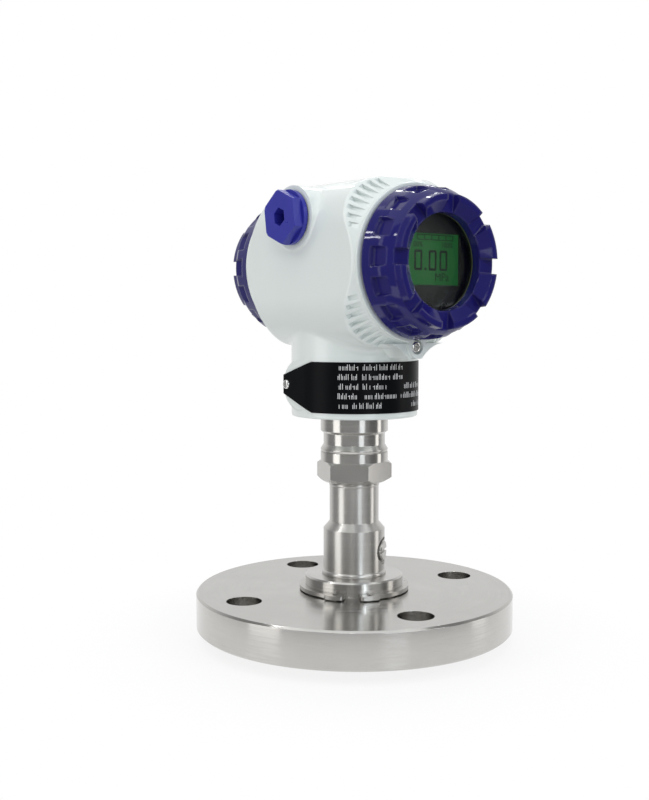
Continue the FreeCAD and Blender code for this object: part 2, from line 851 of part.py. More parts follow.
def make_entry_plug(side):
    """Plug with a round collar, six flats above it and a hexagon socket."""
    head_low = plug_seal_thickness + 2 * seal_gap
    top = head_low + plug_head_height
    head_r = plug_head_diameter / 2
    head = turned([
        (0, head_low), (head_r, head_low), (head_r, top - plug_edge), (head_r - plug_edge, top), (0, top)])
    flats_low = head_low + plug_collar
    waste = disc(plug_head_diameter, flats_low, top + overcut)
    waste = waste.cut(hexagon(plug_flats, flats_low, top + overcut, plug_turn))
    shank_r = entry_diameter / 2 - fit_clearance
    plug = head.cut(waste).fuse(disc(shank_r, -plug_shank_length, head_low))
    socket = hexagon(plug_socket_flats, top - plug_socket_depth, top + overcut, plug_turn)
    return at_entry(plug.cut(socket), side)


def make_plug_seal(side):
    inner = entry_diameter / 2 + fit_clearance
    seal = tube(inner, plug_head_diameter / 2 - plug_edge, seal_gap, seal_gap + plug_seal_thickness)
    return at_entry(seal, side)


def lock_screw():
    screw = cross_screw(lock_head_diameter, lock_head_height, lock_shank_diameter, lock_shank_length)
    screw.translate(V(0, -lug_drop, -lock_counterbore_depth))
    return screw


def make_display_bezel():
    """Round front plate with a rim, a window for the display and a hole for each key."""
    outer = bezel_diameter / 2
    plate_low = bezel_front - bezel_plate
    low = plate_low - overcut
    high = bezel_front + overcut
    bezel = turned([
        (0, plate_low), (outer - bezel_wall, plate_low), (outer - bezel_wall, bezel_back), (outer, bezel_back),
        (outer, bezel_front), (0, bezel_front)])
    window = block(lcd_width, lcd_height, low, high, 0, lcd_rise)
    holes = [disc(key_diameter / 2 + key_play, low, high, x, -key_drop) for x in key_places]
    return at_front(bezel.cut(Part.makeCompound([window] + holes)))


def make_lcd_panel():
    top = bezel_front - bezel_plate
    width = lcd_width + 2 * lcd_border
    height = lcd_height + 2 * lcd_border
    return at_front(block(width, height, top - lcd_thickness, top, 0, lcd_rise))


def make_lcd_backlight():
    top = bezel_front - bezel_plate - lcd_thickness
    return at_front(block(lcd_width, lcd_height, bezel_back, top, 0, lcd_rise))


def make_key(x):
    key_r = key_diameter / 2
    stem_r = key_r / 2
    flange_r = key_r + key_flange
    flange_h = key_base + key_flange_thickness
    top = bezel_front + key_proud
    key = turned([
        (0, key_base - key_stem), (stem_r, key_base - key_stem), (stem_r, key_base), (flange_r, key_base),
        (flange_r, flange_h), (key_r, flange_h), (key_r, bezel_front), (key_r - key_proud, top), (0, top)])
    key.translate(V(x, -key_drop, 0))
    return at_front(key)


def make_key_switches():
    top = key_base - key_stem - key_travel - fit_clearance
    switches = [block(switch_size, switch_size, bezel_back, top, x, -key_drop) for x in key_places]
    return at_front(Part.makeCompound(switches))


def make_display_board():
    return at_front(disc(bezel_diameter / 2, display_board_h, bezel_back))


def posts(low, high, first):
    """Hexagonal spacers of a board, between two heights."""
    post = hexagon(post_flats, low, high)
    post.translate(V(post_circle / 2, 0, 0))
    return at_front(Part.makeCompound(around(post, post_count, first)))


def make_main_board():
    return at_front(disc(main_board_diameter / 2, main_board_h, main_board_h + board_thickness))


def make_board_screws():
    screw = slotted_head(screw_head_diameter, screw_head_height)
    screw.translate(V(post_circle / 2, 0, main_board_h + board_thickness))
    return at_front(Part.makeCompound(around(screw, post_count, board_post_turn)))


def make_feedthrough():
    """Sealed bushing that carries the wires through the partition."""
    outer = feedthrough_diameter / 2 - press_clearance
    head = partition_front_h + feedthrough_flange_thickness
    tail = partition_front_h - partition_thickness - feedthrough_reach
    bushing = turned([
        (0, tail), (outer, tail), (outer, partition_front_h), (outer + feedthrough_flange, partition_front_h),
        (outer + feedthrough_flange, head), (0, head)])
    bushing.translate(V(0, feedthrough_rise, 0))
    return at_front(bushing)


def terminal_places():
    middle = (terminal_count - 1) / 2
    return [((k - middle) * terminal_pitch, -terminal_drop) for k in range(terminal_count)]


def make_terminal_block():
    """D-shaped block on the partition, with a screw recess and a wire mouth for each terminal."""
    top = partition_rear_h + terminal_height
    outer = terminal_diameter / 2
    floor = top - terminal_recess_depth
    shape = disc(outer, partition_rear_h, top)
    shape = shape.cut(block(terminal_diameter * 2, outer, partition_rear_h, top, 0, terminal_flat + outer / 2))
    relief_r = feedthrough_diameter / 2 + overcut
    relief_top = partition_rear_h + feedthrough_reach + overcut
    cuts = [disc(relief_r, partition_rear_h, relief_top, 0, feedthrough_rise)]
    for x, y in terminal_places():
        mouth_top = floor - wire_mouth_drop
        cuts.append(disc(terminal_screw_diameter / 2 + press_clearance, floor, top, x, y))
        cuts.append(block(wire_mouth_width, outer, mouth_top - wire_mouth_height, mouth_top, x, -outer))
    return at_rear(shape.cut(Part.makeCompound(cuts)))


def make_terminal_screws():
    floor = partition_rear_h + terminal_height - terminal_recess_depth
    screws = []
    for x, y in terminal_places():
        screw = slotted_head(terminal_screw_diameter, terminal_screw_height)
        screw.translate(V(x, y, floor))
        screws.append(screw)
    return at_rear(Part.makeCompound(screws))


def make_ground_screw():
    screw = slotted_head(ground_screw_diameter, ground_screw_height)
    screw.translate(V(0, ground_screw_rise, partition_rear_h))
    return at_rear(screw)


def make_nameplate():
    """Sheet bent round the front of the neck, its pointed ends flat on the pads."""
    inner = pad_x
    outer = inner + plate_thickness
    low = neck_z + plate_rise - plate_height / 2
    high = low + plate_height
    reach = plate_tip_reach
    wire = Part.Wire([
        Part.makeLine(V(-inner, reach, low), V(-outer, reach, low)),
        Part.makeLine(V(-outer, reach, low), V(-outer, 0, low)),
        Part.Arc(V(-outer, 0, low), V(0, -outer, low), V(outer, 0, low)).toShape(),
        Part.makeLine(V(outer, 0, low), V(outer, reach, low)),
        Part.makeLine(V(outer, reach, low), V(inner, reach, low)),
        Part.makeLine(V(inner, reach, low), V(inner, 0, low)),
        Part.Arc(V(inner, 0, low), V(0, -inner, low), V(-inner, 0, low)).toShape(),
        Part.makeLine(V(-inner, 0, low), V(-inner, reach, low))])
    band = Part.Face(wire).extrude(V(0, 0, plate_height))
    tip = neck_z + pad_rise
    far = outer * 2
    side = [
        (-far, low), (plate_taper_start, low), (reach, tip - plate_tip_height / 2),
        (reach, tip + plate_tip_height / 2), (plate_taper_start, high), (-far, high)]
    points = [V(-far, y, z) for y, z in side + side[:1]]
    trim = Part.Face(Part.makePolygon(points)).extrude(V(2 * far, 0, 0))
    hole = disc(plate_screw_shank / 2 + press_clearance, -plate_thickness * 2, plate_thickness)
    return band.common(trim).cut(Part.makeCompound([at_pad(hole, end) for end in (-1, 1)]))


def make_nameplate_screws():
    screw = cross_screw(plate_screw_head, plate_screw_head_height, plate_screw_shank, plate_screw_length)
    return Part.makeCompound([at_pad(screw, side) for side in (-1, 1)])


def make_parts():
    return {
        "seal_body": make_seal_body(),
        "seal_diaphragm": make_seal_diaphragm(),
        "flange": make_flange(),
        "retaining_ring": make_retaining_ring(),
        "stem": make_stem(),
        "fill_plug": make_fill_plug(),
        "hex_adapter": make_hex_adapter(),
        "sensor_module": make_sensor_module(),
        "module_seal": make_module_seal(),
        "sensor_header": make_sensor_header(),
        "housing": make_housing(),
        "front_cover": make_front_cover(),
        "front_cover_seal": at_front(cover_seal()),
        "front_glass": make_front_glass(),
        "glass_gasket": make_glass_gasket(),
        "glass_retainer": make_glass_retainer(),
        "rear_cover": make_rear_cover(),
        "rear_cover_seal": at_rear(cover_seal()),
        "entry_plug_left": make_entry_plug(-1),
        "entry_plug_right": make_entry_plug(1),
        "plug_seal_left": make_plug_seal(-1),
        "plug_seal_right": make_plug_seal(1),
        "front_lock_screw": at_front(lock_screw()),
        "rear_lock_screw": at_rear(lock_screw()),
        "display_bezel": make_display_bezel(),
        "lcd_panel": make_lcd_panel(),
        "lcd_backlight": make_lcd_backlight(),
        "key_mode": make_key(-key_spacing),
        "key_span": make_key(0),
        "key_zero": make_key(key_spacing),
        "key_switches": make_key_switches(),
        "display_board": make_display_board(),
        "display_posts": posts(main_board_h + board_thickness, display_board_h, display_post_turn),
        "main_board": make_main_board(),
        "board_posts": posts(partition_front_h, main_board_h, board_post_turn),
        "board_screws": make_board_screws(),
        "feedthrough": make_feedthrough(),
        "terminal_block": make_terminal_block(),
        "terminal_screws": make_terminal_screws(),
        "ground_screw": make_ground_screw(),
        "nameplate": make_nameplate(),
        "nameplate_screws": make_nameplate_screws(),
    }


os.makedirs("parts", exist_ok=True)
for name, shape in make_parts().items():
    shape.exportStep("parts/" + name + ".step")
    print(name, len(shape.Solids), round(shape.Volume, 1), shape.isValid())
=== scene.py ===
"""Flanged pressure transmitter: its finishes, the lit display, the data plate and a white studio."""
import math
import random

import bpy
from bpy.props import FloatProperty, FloatVectorProperty, IntProperty, PointerProperty, StringProperty
from mathutils import Matrix, Vector


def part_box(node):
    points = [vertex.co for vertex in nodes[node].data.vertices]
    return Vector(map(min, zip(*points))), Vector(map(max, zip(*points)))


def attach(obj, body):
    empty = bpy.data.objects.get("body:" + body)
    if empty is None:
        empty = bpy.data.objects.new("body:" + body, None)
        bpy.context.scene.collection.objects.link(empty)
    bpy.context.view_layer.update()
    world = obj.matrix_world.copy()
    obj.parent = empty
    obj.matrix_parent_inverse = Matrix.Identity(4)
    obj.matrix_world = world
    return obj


bl_info = {
    "name": "Pressure transmitter",
    "version": (1, 0, 0),
    "blender": (4, 5, 0),
    "location": "3D View > Sidebar > Transmitter",
    "description": "Dresses a flanged pressure transmitter with a lit display and sets it in a white studio",
    "category": "Object",
}

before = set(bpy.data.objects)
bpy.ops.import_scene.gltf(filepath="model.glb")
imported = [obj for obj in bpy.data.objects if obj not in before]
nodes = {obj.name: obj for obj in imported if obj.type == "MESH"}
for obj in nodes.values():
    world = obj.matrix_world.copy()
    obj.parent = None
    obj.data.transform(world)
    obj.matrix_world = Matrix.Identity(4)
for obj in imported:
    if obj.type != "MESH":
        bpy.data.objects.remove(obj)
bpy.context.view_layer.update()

MM = 0.001
QUARTER_TURN = math.radians(90.0)
WHITE = (1.0, 1.0, 1.0)
BARE_ALLOY = (0.56, 0.56, 0.55)
CHROME = (0.78, 0.78, 0.77)
BRASS = (0.62, 0.47, 0.2)
BLACK_RUBBER = (0.012, 0.012, 0.012)
GASKET_FIBRE = (0.10, 0.12, 0.06)
BLACK_PLASTIC = (0.02, 0.02, 0.02)
MILKY_PLASTIC = (0.75, 0.78, 0.72)
KEY_INK = (0.001, 0.001, 0.001)
BOARD_LACQUER = (0.010, 0.075, 0.026)
BOARD_TRACK = (0.022, 0.15, 0.045)
GLASS_TINT = (0.93, 0.97, 0.94)

lcd_low, lcd_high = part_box("lcd_panel")
bezel_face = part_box("display_bezel")[0].y
plate_low, plate_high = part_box("nameplate")
cover_low, cover_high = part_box("front_cover")
housing_low, housing_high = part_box("housing")
stem_low, stem_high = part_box("stem")
plug_low, plug_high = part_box("entry_plug_left")
head_z = (cover_low.z + cover_high.z) / 2


def colour_prop(name, description, default):
    """A colour swatch in the panel."""
    return FloatVectorProperty(
        name=name, description=description, default=default, min=0.0, max=1.0, size=3, subtype="COLOR")


def length_prop(name, description, default):
    """A length in the panel."""
    return FloatProperty(
        name=name, description=description, default=default, min=0.0, unit="LENGTH", precision=5)


def factor_prop(name, description, default):
    """A share between nothing and all."""
    return FloatProperty(
        name=name, description=description, default=default, min=0.0, max=1.0, subtype="FACTOR")


class TransmitterPaint(bpy.types.PropertyGroup):
    """Painted castings and moulded plugs."""
    housing: colour_prop("Housing", "Baked enamel on the housing", (0.80, 0.86, 0.845))
    cover: colour_prop("Covers", "Gloss enamel on the two screwed covers", (0.0145, 0.012, 0.135))
    plug: colour_prop("Plugs", "Moulded plastic of the entry plugs", (0.028, 0.031, 0.34))
    housing_roughness: factor_prop("Housing roughness", "How matt the housing enamel is", 0.3)
    cover_roughness: factor_prop("Cover roughness", "How matt the cover enamel is", 0.055)
    edge: length_prop("Housing edges", "Radius that the enamel leaves on the housing's edges", 0.6 * MM)
    cover_edge: length_prop("Cover edges", "Radius that the enamel leaves on the covers' edges", 1.3 * MM)
    peel: length_prop("Orange peel", "Width of the ripples that spraying leaves", 1.1 * MM)
    thread_pitch: length_prop("Cover thread", "Pitch of the bare threads on the covers", 2.0 * MM)
    plug_pitch: length_prop("Plug thread", "Pitch of the threads on the entry plugs", 1.5 * MM)


class TransmitterSteel(bpy.types.PropertyGroup):
    """Turned and pressed stainless steel."""
    bright: colour_prop("Stem steel", "Turned stainless steel of the stem", (0.58, 0.57, 0.55))
    flange: colour_prop("Flange steel", "Faced stainless steel of the flange", (0.55, 0.54, 0.52))
    spring: colour_prop("Ring steel", "Stamped spring steel of the retaining ring", (0.52, 0.51, 0.49))
    roughness: factor_prop("Roughness", "How matt the turned steel is", 0.22)
    brushed: factor_prop("Brushed", "How matt the brushed stem is", 0.33)
    faced: factor_prop("Faced", "How matt the faced flange is", 0.18)
    grain: factor_prop("Grain", "How far the turning marks draw the reflections out", 0.8)
    feed: length_prop("Turning feed", "Distance between turning marks", 0.16 * MM)
    brush: length_prop("Brush marks", "Width of the brush marks round the steel", 0.7 * MM)
    edge: length_prop("Edge softening", "Radius of the broken edges", 0.2 * MM)


class TransmitterDisplay(bpy.types.PropertyGroup):
    """The lit display and its print."""
    lit: colour_prop("Lit panel", "Green of the lit display", (0.005, 0.082, 0.016))
    ink: colour_prop("Segments", "Dark of the driven segments", (0.004, 0.012, 0.010))
    bezel: colour_prop("Bezel", "Moulded frame round the display", (0.020, 0.024, 0.0245))
    reading: StringProperty(name="Reading", description="Digits on the display", default="0.00")
    unit: StringProperty(name="Unit", description="Unit below the digits", default="MPa")
    digit_width: length_prop("Digit width", "Width of one digit", 5.2 * MM)
    digit_height: length_prop("Digit height", "Height of one digit", 9.8 * MM)
    stroke: length_prop("Segment width", "Width of one segment", 1.15 * MM)
    print_thickness: length_prop("Print thickness", "How far segments and marks stand off", 0.04 * MM)
    scale_cells: IntProperty(name="Scale cells", description="Boxes in the percent scale", default=5, min=1)
    scale_cell: length_prop("Scale cell", "Width of one box in the percent scale", 4.7 * MM)


class TransmitterPlate(bpy.types.PropertyGroup):
    """The data plate round the neck."""
    face: colour_prop("Plate", "Black anodised face of the plate", (0.004, 0.0045, 0.0055))
    ink: colour_prop("Print", "Pale print on the plate", (0.72, 0.73, 0.74))
    bare: colour_prop("Bare edge", "Sheared aluminium edge of the plate", (0.70, 0.71, 0.73))
    row_pitch: length_prop("Row pitch", "Distance between rows of print", 4.72 * MM)
    row_lift: length_prop("Row lift", "How far the middle row lies above the plate's middle", 0.8 * MM)
    sign_height: length_prop("Sign height", "Height of the tall strokes", 2.9 * MM)
    sign_width: length_prop("Sign width", "Width of a pair of strokes", 1.0 * MM)
    sign_pitch: length_prop("Sign pitch", "Distance between pairs of strokes", 1.7 * MM)
    stroke: length_prop("Stroke width", "Width of one stroke", 0.31 * MM)
    print_thickness: length_prop("Print thickness", "How far the print stands off", 0.03 * MM)


class TransmitterStudio(bpy.types.PropertyGroup):
    """Camera, lamps, floor and sky."""
    eye: FloatVectorProperty(
        name="Camera", description="Place of the camera", default=(-0.3750, -0.4485, 0.16873), size=3,
        subtype="TRANSLATION", unit="LENGTH")
    turn: FloatVectorProperty(
        name="Camera turn", description="Direction of the camera",
        default=(math.radians(85.64), 0.0, math.radians(-38.38)), size=3, subtype="EULER", unit="ROTATION")
    lens: FloatProperty(
        name="Lens", description="Focal length in millimetres", default=50.74, min=1.0, unit="CAMERA")
    floor: colour_prop("Floor", "Pale floor", (0.95, 0.95, 0.95))
    floor_radius: length_prop("Floor radius", "How far the pale floor reaches", 0.17)
    shadow: factor_prop("Shadow", "Share of the floor that takes the shadow", 0.18)
    room: factor_prop("Room", "Light of the studio behind the camera", 0.30)
    backdrop: factor_prop("Backdrop", "Light of the wall behind the object", 0.85)
    flag: factor_prop("Flag", "Light left where a dark cloth hangs beside the window", 0.15)
    flag_turn: FloatProperty(
        name="Flag turn", description="Turn of the dark cloth from the camera", default=math.radians(72.0),
        subtype="ANGLE")
    lamps: FloatProperty(name="Lamps", description="Level of all lamps", default=1.0, min=0.0)


class Wire:
    """A shader socket that takes part in arithmetic."""

    def __init__(self, tree, socket):
        self.tree = tree
        self.socket = socket

    def wired(self, operation, *terms):
        """A Math node on the terms, which are sockets or plain numbers."""
        node = self.tree.nodes.new("ShaderNodeMath")
        node.operation = operation
        for port, term in zip(node.inputs, terms):
            if isinstance(term, Wire):
                self.tree.links.new(term.socket, port)
            else:
                port.default_value = term
        return Wire(self.tree, node.outputs[0])

    def math(self, operation, *others):
        """A Math node on this socket and then the others."""
        return self.wired(operation, self, *others)

    def __add__(self, other):
        return self.wired("ADD", self, other)

    def __radd__(self, other):
        return self.wired("ADD", other, self)

    def __sub__(self, other):
        return self.wired("SUBTRACT", self, other)

    def __rsub__(self, other):
        return self.wired("SUBTRACT", other, self)

    def __mul__(self, other):
        return self.wired("MULTIPLY", self, other)

    def __rmul__(self, other):
        return self.wired("MULTIPLY", other, self)

    def __truediv__(self, other):
        return self.wired("DIVIDE", self, other)

    def __rtruediv__(self, other):
        return self.wired("DIVIDE", other, self)

    def __abs__(self):
        return self.wired("ABSOLUTE", self)


class Finish:
    """A material or world that is being wired."""

    def __init__(self, owner):
        owner.use_nodes = True
        self.owner = owner
        self.tree = owner.node_tree
        self.tree.nodes.clear()

    def node(self, kind, settings=None, sockets=None, out=0):
        """Add a node: settings first, then socket values or links; gives the named outputs."""
        made = self.tree.nodes.new("ShaderNode" + kind)
        for key, value in (settings or {}).items():
            setattr(made, key, value)
        for key, value in (sockets or {}).items():
            port = made.inputs[key]
            if isinstance(value, Wire):
                self.tree.links.new(value.socket, port)
            elif port.type == "RGBA" and len(value) == 3:
                port.default_value = (*value, 1.0)
            else:
                port.default_value = value
        if isinstance(out, tuple):
            return [Wire(self.tree, made.outputs[name]) for name in out]
        return Wire(self.tree, made.outputs[out]) if made.outputs else None

    def place(self):
        """Where the shaded point is, in the object's own frame."""
        return self.node("TexCoord", out="Object")

    def axes(self, place):
        """The three coordinates of a place."""
        return self.node("SeparateXYZ", sockets={"Vector": place}, out=("X", "Y", "Z"))

    def noise(self, place, width, detail=2.0, roughness=0.5):
        """Soft noise whose blots are about as wide as given, in the place's own measure."""
        return self.node("TexNoise", sockets={
            "Vector": place, "Scale": 1.0 / width, "Detail": detail, "Roughness": roughness})

    def streaks(self, along, width, detail=3.0):
        """Noise along one line, for turning and rolling marks."""
        return self.node(
            "TexNoise", {"noise_dimensions": "1D"}, {"W": along / width, "Scale": 1.0, "Detail": detail})

    def swing(self, noise, reach):
        """Noise as a change to either side that leaves the mean alone."""
        return reach * (noise - 0.5)

    def ease(self, value, low, high):
        """A smooth step from nothing at low to one at high."""
        return self.node("MapRange", {"interpolation_type": "SMOOTHSTEP"}, {
            "Value": value, "From Min": low, "From Max": high})

    def band(self, value, middle, half, feather):
        """One within half a width of the middle, and nothing past the feathered edge."""
        return 1.0 - self.ease(abs(value - middle), half, half + feather)

    def thread(self, along, across, up, pitch):
        """Ridges of a screw thread round the line that it runs along."""
        turn = up.math("ARCTAN2", across) / (2 * math.pi)
        phase = along / pitch + turn
        return abs(phase.math("FRACT") - 0.5) * 2.0

    def mixed(self, share, first, second):
        """A colour between two others."""
        return self.node("Mix", {"data_type": "RGBA"}, {0: share, 6: first, 7: second}, out=2)

    def mottled(self, share, colour, dark, pale):
        """A colour between a darker and a paler shade of itself."""
        return self.mixed(share, shade(colour, dark), shade(colour, pale))

    def soft_edge(self, radius):
        """Normals rounded over sharp edges."""
        return self.node("Bevel", {"samples": 6}, {"Radius": radius})

    def bumped(self, height, depth, strength, normal=None):
        """Normals tilted by a relief."""
        sockets = {"Height": height, "Distance": depth, "Strength": strength}
        if normal is not None:
            sockets["Normal"] = normal
        return self.node("Bump", sockets=sockets)

    def close(self, sockets):
        """End in a principled surface."""
        surface = self.node("BsdfPrincipled", sockets=sockets)
        self.node("OutputMaterial", sockets={"Surface": surface})
        return self.owner


def begin(name):
    """A new material with nothing wired yet."""
    return Finish(bpy.data.materials.new(name))


def shade(colour, share):
    """The colour made darker or paler."""
    return tuple(min(1.0, part * share) for part in colour)


def dress(finish, *names):
    """Give CAD nodes a finish."""
    for name in names:
        for slot in nodes[name].material_slots:
            slot.material = finish


def housing_enamel(paint):
    """Cool white baked enamel with a faint orange peel."""
    look = begin("housing_enamel")
    place = look.place()
    cloud = look.noise(place, width=30 * MM)
    peel = look.noise(place, width=paint.peel, detail=1.0)
    speck = look.noise(place, width=6 * MM, detail=4.0)
    edges = look.soft_edge(paint.edge)
    return look.close({
        "Base Color": look.mottled(cloud, paint.housing, dark=0.985, pale=1.01),
        "Roughness": paint.housing_roughness + look.swing(speck, reach=0.06),
        "Coat Weight": 0.6,
        "Coat Roughness": 0.06,
        "Normal": look.bumped(peel, depth=0.006 * MM, strength=0.5, normal=edges),
    })


def cover_enamel(paint):
    """Deep blue gloss enamel; the thread that goes into the housing is left bare."""
    look = begin("cover_enamel")
    place = look.place()
    x, y, z = look.axes(place)
    middle = (housing_low.y + housing_high.y) / 2
    masked = (housing_high.y - housing_low.y) / 2 - 0.9 * MM
    bare = look.band(y, middle, half=masked, feather=0.2 * MM)
    ridge = look.thread(y, x, z - head_z, paint.thread_pitch)
    cloud = look.noise(place, width=18 * MM)
    peel = look.noise(place, width=paint.peel, detail=1.0)
    enamel = look.mottled(cloud, paint.cover, dark=0.92, pale=1.08)
    edges = look.soft_edge(paint.cover_edge)
    rippled = look.bumped(peel, depth=0.012 * MM, strength=0.5, normal=edges)
    bare_roughness = 0.2
    return look.close({
        "Base Color": look.mixed(bare, enamel, BARE_ALLOY),
        "Metallic": bare,
        "Roughness": paint.cover_roughness + look.swing(cloud, reach=0.03) + bare_roughness * bare,
        "Specular IOR Level": 0.32,
        "Normal": look.bumped(ridge * bare, depth=0.5 * MM, strength=1.0, normal=rippled),
    })


def plug_plastic(paint):
    """Blue moulded plastic with a fine cast skin and a thread on the shank."""
    look = begin("plug_plastic")
    place = look.place()
    x, y, z = look.axes(place)
    shank = look.band(x, 0.0, half=39.6 * MM, feather=0.4 * MM)
    ridge = look.thread(x, y, z - (plug_low.z + plug_high.z) / 2, paint.plug_pitch)
    flow = look.noise(place, width=9 * MM, detail=3.0)
    skin = look.noise(place, width=0.35 * MM)
    moulded = look.bumped(skin, depth=0.012 * MM, strength=0.6)
    roughness = 0.3
    return look.close({
        "Base Color": look.mottled(flow, paint.plug, dark=0.92, pale=1.1),
        "Roughness": roughness + look.swing(flow, reach=0.12),
        "Normal": look.bumped(ridge * shank, depth=0.6 * MM, strength=1.0, normal=moulded),
    })


def turned_steel(name, colour, roughness, steel, smudge=0.5, brushing=0.06, weld=False):
    """Stainless steel with turning marks round the stem's axis, handled and wiped."""
    look = begin(name)
    place = look.place()
    x, y, z = look.axes(place)
    along = z + (x * x + y * y).math("SQRT")
    marks = look.streaks(along, steel.feed)
    stroke = 25 * MM
    drawn_out = look.node("CombineXYZ", sockets={
        "X": x / stroke, "Y": y / stroke, "Z": along / steel.brush})
    brush = look.ease(look.noise(drawn_out, width=1.0, detail=3.0), low=0.3, high=0.7)
    wipe = look.noise(place, width=16 * MM, detail=5.0, roughness=0.6)
    marked = look.swing(marks, reach=0.04) + look.swing(brush, reach=brushing)
    brush_share = 4.0 * brushing
    worn = wipe + brush_share * (brush - wipe)
    relief = marks
    depth = 0.006 * MM
    if weld:
        half_bead = 1.0 * MM
        feather = 0.3 * MM
        foot = look.band(z, stem_low.z + half_bead, half_bead, feather)
        crown = look.band(z, stem_high.z - half_bead, half_bead, feather)
        ripples = look.noise(place, width=1.2 * MM)
        depth = 0.1 * MM
        marks_share = 0.06
        relief = marks_share * marks + ripples * (foot + crown)
    return look.close({
        "Base Color": look.mottled(worn, colour, dark=1.0 - 0.2 * smudge, pale=1.0 + 0.16 * smudge),
        "Metallic": 1.0,
        "Roughness": roughness + marked + look.swing(wipe, reach=0.12 * smudge),
        "Anisotropic": steel.grain,
        "Anisotropic Rotation": 0.25,
        "Normal": look.bumped(relief, depth, strength=0.4, normal=look.soft_edge(steel.edge)),
    })


def stamped_steel(name, colour, roughness, edge):
    """Plain bright metal of small parts, with a faint grain."""
    look = begin(name)
    place = look.place()
    grain = look.noise(place, width=0.4 * MM, detail=3.0)
    wipe = look.noise(place, width=5 * MM, detail=3.0)
    return look.close({
        "Base Color": look.mottled(wipe, colour, dark=0.88, pale=1.06),
        "Metallic": 1.0,
        "Roughness": roughness + look.swing(wipe, reach=0.14),
        "Normal": look.bumped(grain, depth=0.01 * MM, strength=0.5, normal=look.soft_edge(edge)),
    })


def moulding(name, colour, roughness):
    """Moulded plastic or rubber with a fine spark-eroded skin."""
    look = begin(name)
    place = look.place()
    skin = look.noise(place, width=0.3 * MM)
    flow = look.noise(place, width=8 * MM, detail=3.0)
    edges = look.soft_edge(0.25 * MM)
    return look.close({
        "Base Color": look.mottled(flow, colour, dark=0.85, pale=1.15),
        "Roughness": roughness + look.swing(flow, reach=0.12),
        "Normal": look.bumped(skin, depth=0.02 * MM, strength=0.5, normal=edges),
    })


def window_glass():
    """Thick toughened glass, faintly green, with a wiped face."""
    look = begin("window_glass")
    wipe = look.noise(look.place(), width=12 * MM, detail=4.0)
    clean = 0.012
    wiped = 0.02
    return look.close({
        "Base Color": GLASS_TINT,
        "Roughness": clean + wiped * wipe,
        "IOR": 1.47,
        "Transmission Weight": 1.0,
    })


def lit_panel(display):
    """Green lit panel, darker towards its right end, with the fine lines of the cell."""
    look = begin("lit_panel")
    place = look.place()
    x, _, z = look.axes(place)
    half = (lcd_high.x - lcd_low.x) / 2
    far_end = look.ease(x, low=0.1 * half, high=half)
    cloud = look.noise(place, width=9 * MM)
    lines = look.streaks(z, 0.3 * MM, detail=1.0)
    falloff = 0.45
    dimming = falloff * far_end + look.swing(cloud, reach=0.25) + look.swing(lines, reach=0.06)
    return look.close({
        "Base Color": shade(display.lit, 0.2),
        "Roughness": 0.3,
        "Emission Color": look.mixed(dimming, display.lit, shade(display.lit, 0.55)),
        "Emission Strength": 1.0,
    })


def printed(name, colour, roughness):
    """Flat ink with a little mottle."""
    look = begin(name)
    mottle = look.noise(look.place(), width=1.5 * MM, detail=3.0)
    return look.close({
        "Base Color": look.mottled(mottle, colour, dark=0.85, pale=1.1),
        "Roughness": roughness + look.swing(mottle, reach=0.1),
    })


def plate_face(plate):
    """Black anodised sheet whose sheared edges show bare metal."""
    look = begin("plate_face")
    place = look.place()
    _, _, z = look.axes(place)
    rolled = look.streaks(z, 0.12 * MM)
    wipe = look.noise(place, width=14 * MM, detail=4.0)
    middle = (plate_low.z + plate_high.z) / 2
    dyed = (plate_high.z - plate_low.z) / 2 - 0.1 * MM
    bare = 1.0 - look.band(z, middle, half=dyed, feather=0.08 * MM)
    black = look.mottled(wipe, plate.face, dark=0.8, pale=1.3)
    roughness = 0.3
    return look.close({
        "Base Color": look.mixed(bare, black, plate.bare),
        "Metallic": bare,
        "Roughness": roughness + look.swing(wipe, reach=0.1) + look.swing(rolled, reach=0.08),
        "Specular IOR Level": 0.06,
        "Normal": look.bumped(rolled, depth=0.004 * MM, strength=0.5),
    })


def circuit_board():
    """Green lacquer over copper tracks."""
    look = begin("circuit_board")
    tracks_per_metre = 260.0
    cells = look.node("TexVoronoi", {"feature": "DISTANCE_TO_EDGE"}, {
        "Vector": look.place(), "Scale": tracks_per_metre, "Randomness": 0.35})
    track = 1.0 - look.ease(cells, low=0.05, high=0.09)
    lacquer_roughness = 0.28
    track_roughness = 0.1
    return look.close({
        "Base Color": look.mixed(track, BOARD_LACQUER, BOARD_TRACK),
        "Roughness": lacquer_roughness + track_roughness * track,
        "Normal": look.bumped(track, depth=0.03 * MM, strength=0.6),
    })


def alone():
    """Leave edit mode with nothing selected."""
    if bpy.context.object is not None and bpy.context.object.mode != "OBJECT":
        bpy.ops.object.mode_set(mode="OBJECT")
    bpy.ops.object.select_all(action="DESELECT")


def settle(piece):
    """Bring a piece's place into its mesh, and leave it the only one selected."""
    alone()
    piece.select_set(True)
    bpy.context.view_layer.objects.active = piece
    bpy.ops.object.transform_apply(location=True, rotation=True, scale=True)
    return piece


def joined(name, pieces):
    """Several like pieces as one."""
    alone()
    for piece in pieces:
        piece.select_set(True)
    bpy.context.view_layer.objects.active = pieces[0]
    if len(pieces) > 1:
        bpy.ops.object.join()
    whole = bpy.context.view_layer.objects.active
    whole.name = name
    whole.data.name = name
    return settle(whole)


def copied(source, place):
    """A copy with its own mesh, moved by the matrix given."""
    twin = source.copy()
    twin.data = source.data.copy()
    twin.data.transform(place)
    bpy.context.collection.objects.link(twin)
    return twin


def discarded(patterns):
    """Remove the patterns that copies were made from."""
    for pattern in patterns:
        bpy.data.objects.remove(pattern)


def carried(piece, finish, body="transmitter"):
    """Finish a piece, and let it ride on its body."""
    piece.data.materials.clear()
    piece.data.materials.append(finish)
    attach(piece, body)


